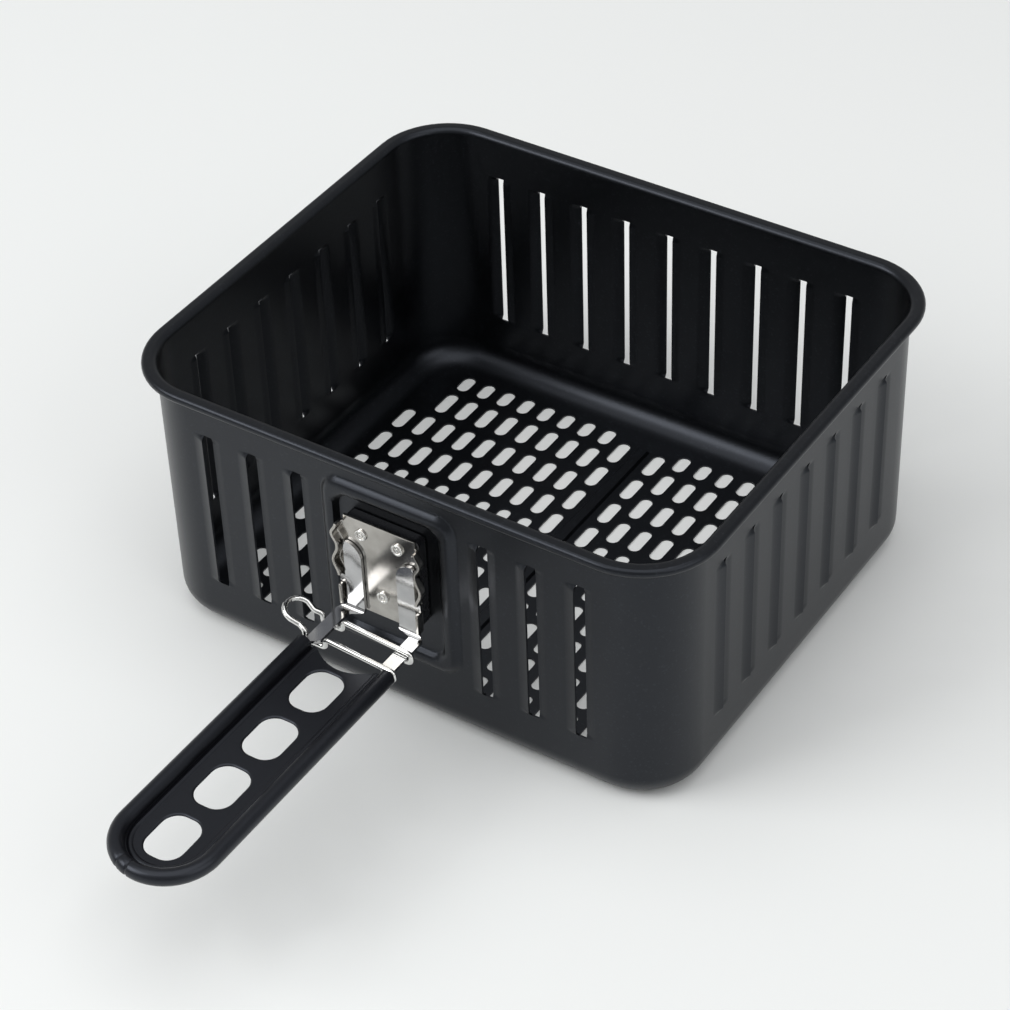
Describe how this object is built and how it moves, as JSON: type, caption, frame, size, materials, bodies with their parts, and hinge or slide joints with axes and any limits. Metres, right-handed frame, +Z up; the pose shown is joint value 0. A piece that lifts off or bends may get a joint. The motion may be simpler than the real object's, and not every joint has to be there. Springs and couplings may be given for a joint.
{
  "type": "air fryer basket with clip-on handle",
  "caption": "Rectangular air fryer basket with louvred walls, a perforated floor and a rolled rim, and a clip-on grip on spring arms with a sliding wire lock.",
  "frame": {"origin": "middle of the underside of the basket", "axes": "+Z up, the handle points to -Y, +X to the right of a person who stands behind the basket and looks along +Y at its handle side"},
  "size_m": [0.2532, 0.3747, 0.121],
  "materials": {
    "nonstick_coating": "satin non-stick coating",
    "steel_wire": "drawn",
    "black_spacer": "glossy phenolic",
    "stainless": "bright rolled",
    "rivet_steel": "plated",
    "grip_enamel": "satin black enamel",
    "arm_chrome": "plated strip",
    "wire_chrome": "plated wire"
  },
  "bodies": {
    "basket": {"basket_shell": "nonstick_coating", "rim_wire": "steel_wire", "bracket_spacer": "black_spacer", "handle_bracket": "stainless", "top_left_rivet": "rivet_steel", "top_right_rivet": "rivet_steel", "bottom_rivet": "rivet_steel", "top_left_washer": "rivet_steel", "top_right_washer": "rivet_steel", "bottom_washer": "rivet_steel"},
    "grip": {"grip_plate": "grip_enamel", "grip_edge_wire": "steel_wire"},
    "arm_left": {"left_arm": "arm_chrome"},
    "arm_right": {"right_arm": "arm_chrome"},
    "lock": {"wire_lock": "wire_chrome"}
  },
  "joints": [
    {"name": "handle_release", "type": "slide", "parent": "basket", "child": "grip", "axis": [0, -1, 0], "range_m": [0, 0.06]},
    {"name": "left_arm_squeeze", "type": "hinge", "parent": "grip", "child": "arm_left", "pos_m": [-0.0185, -0.139, 0.0515], "axis": [0, 0, -1], "range_deg": [0, 1.8], "stiffness_Nm_per_rad": 0.6},
    {"name": "right_arm_squeeze", "type": "hinge", "parent": "grip", "child": "arm_right", "pos_m": [0.0185, -0.139, 0.0515], "axis": [0, 0, 1], "range_deg": [0, 1.8], "stiffness_Nm_per_rad": 0.6},
    {"name": "lock_slide", "type": "slide", "parent": "grip", "child": "lock", "axis": [0, 1, 0], "range_m": [0, 0.005]}
  ],
  "couplings": [
    {"joint": "right_arm_squeeze", "follows": "left_arm_squeeze", "ratio": 1}
  ]
}
